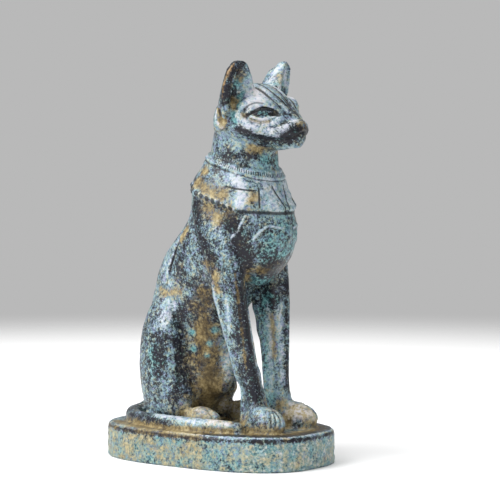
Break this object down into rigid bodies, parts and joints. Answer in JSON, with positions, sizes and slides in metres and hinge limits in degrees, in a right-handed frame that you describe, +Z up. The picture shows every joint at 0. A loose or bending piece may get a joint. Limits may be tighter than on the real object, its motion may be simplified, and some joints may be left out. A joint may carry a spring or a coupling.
{
  "type": "seated cat statuette",
  "caption": "Seated bronze cat with upright ears, a broad collar and an earring, its tail laid along its right side, cast in one with an oval plinth.",
  "frame": {"origin": "centre of the plinth's flat underside, on the surface that it stands on", "axes": "+Z up through the ears, -Y the way the cat looks, -X the cat's right side, where its tail lies"},
  "size_m": [0.0414, 0.0654, 0.1092],
  "materials": {
    "bronze": "cast bronze with a dark brown-black skin, pale blue-green verdigris and ochre dirt in the hollows"
  },
  "bodies": {
    "root": {"cat_statue": "bronze"}
  },
  "joints": []
}
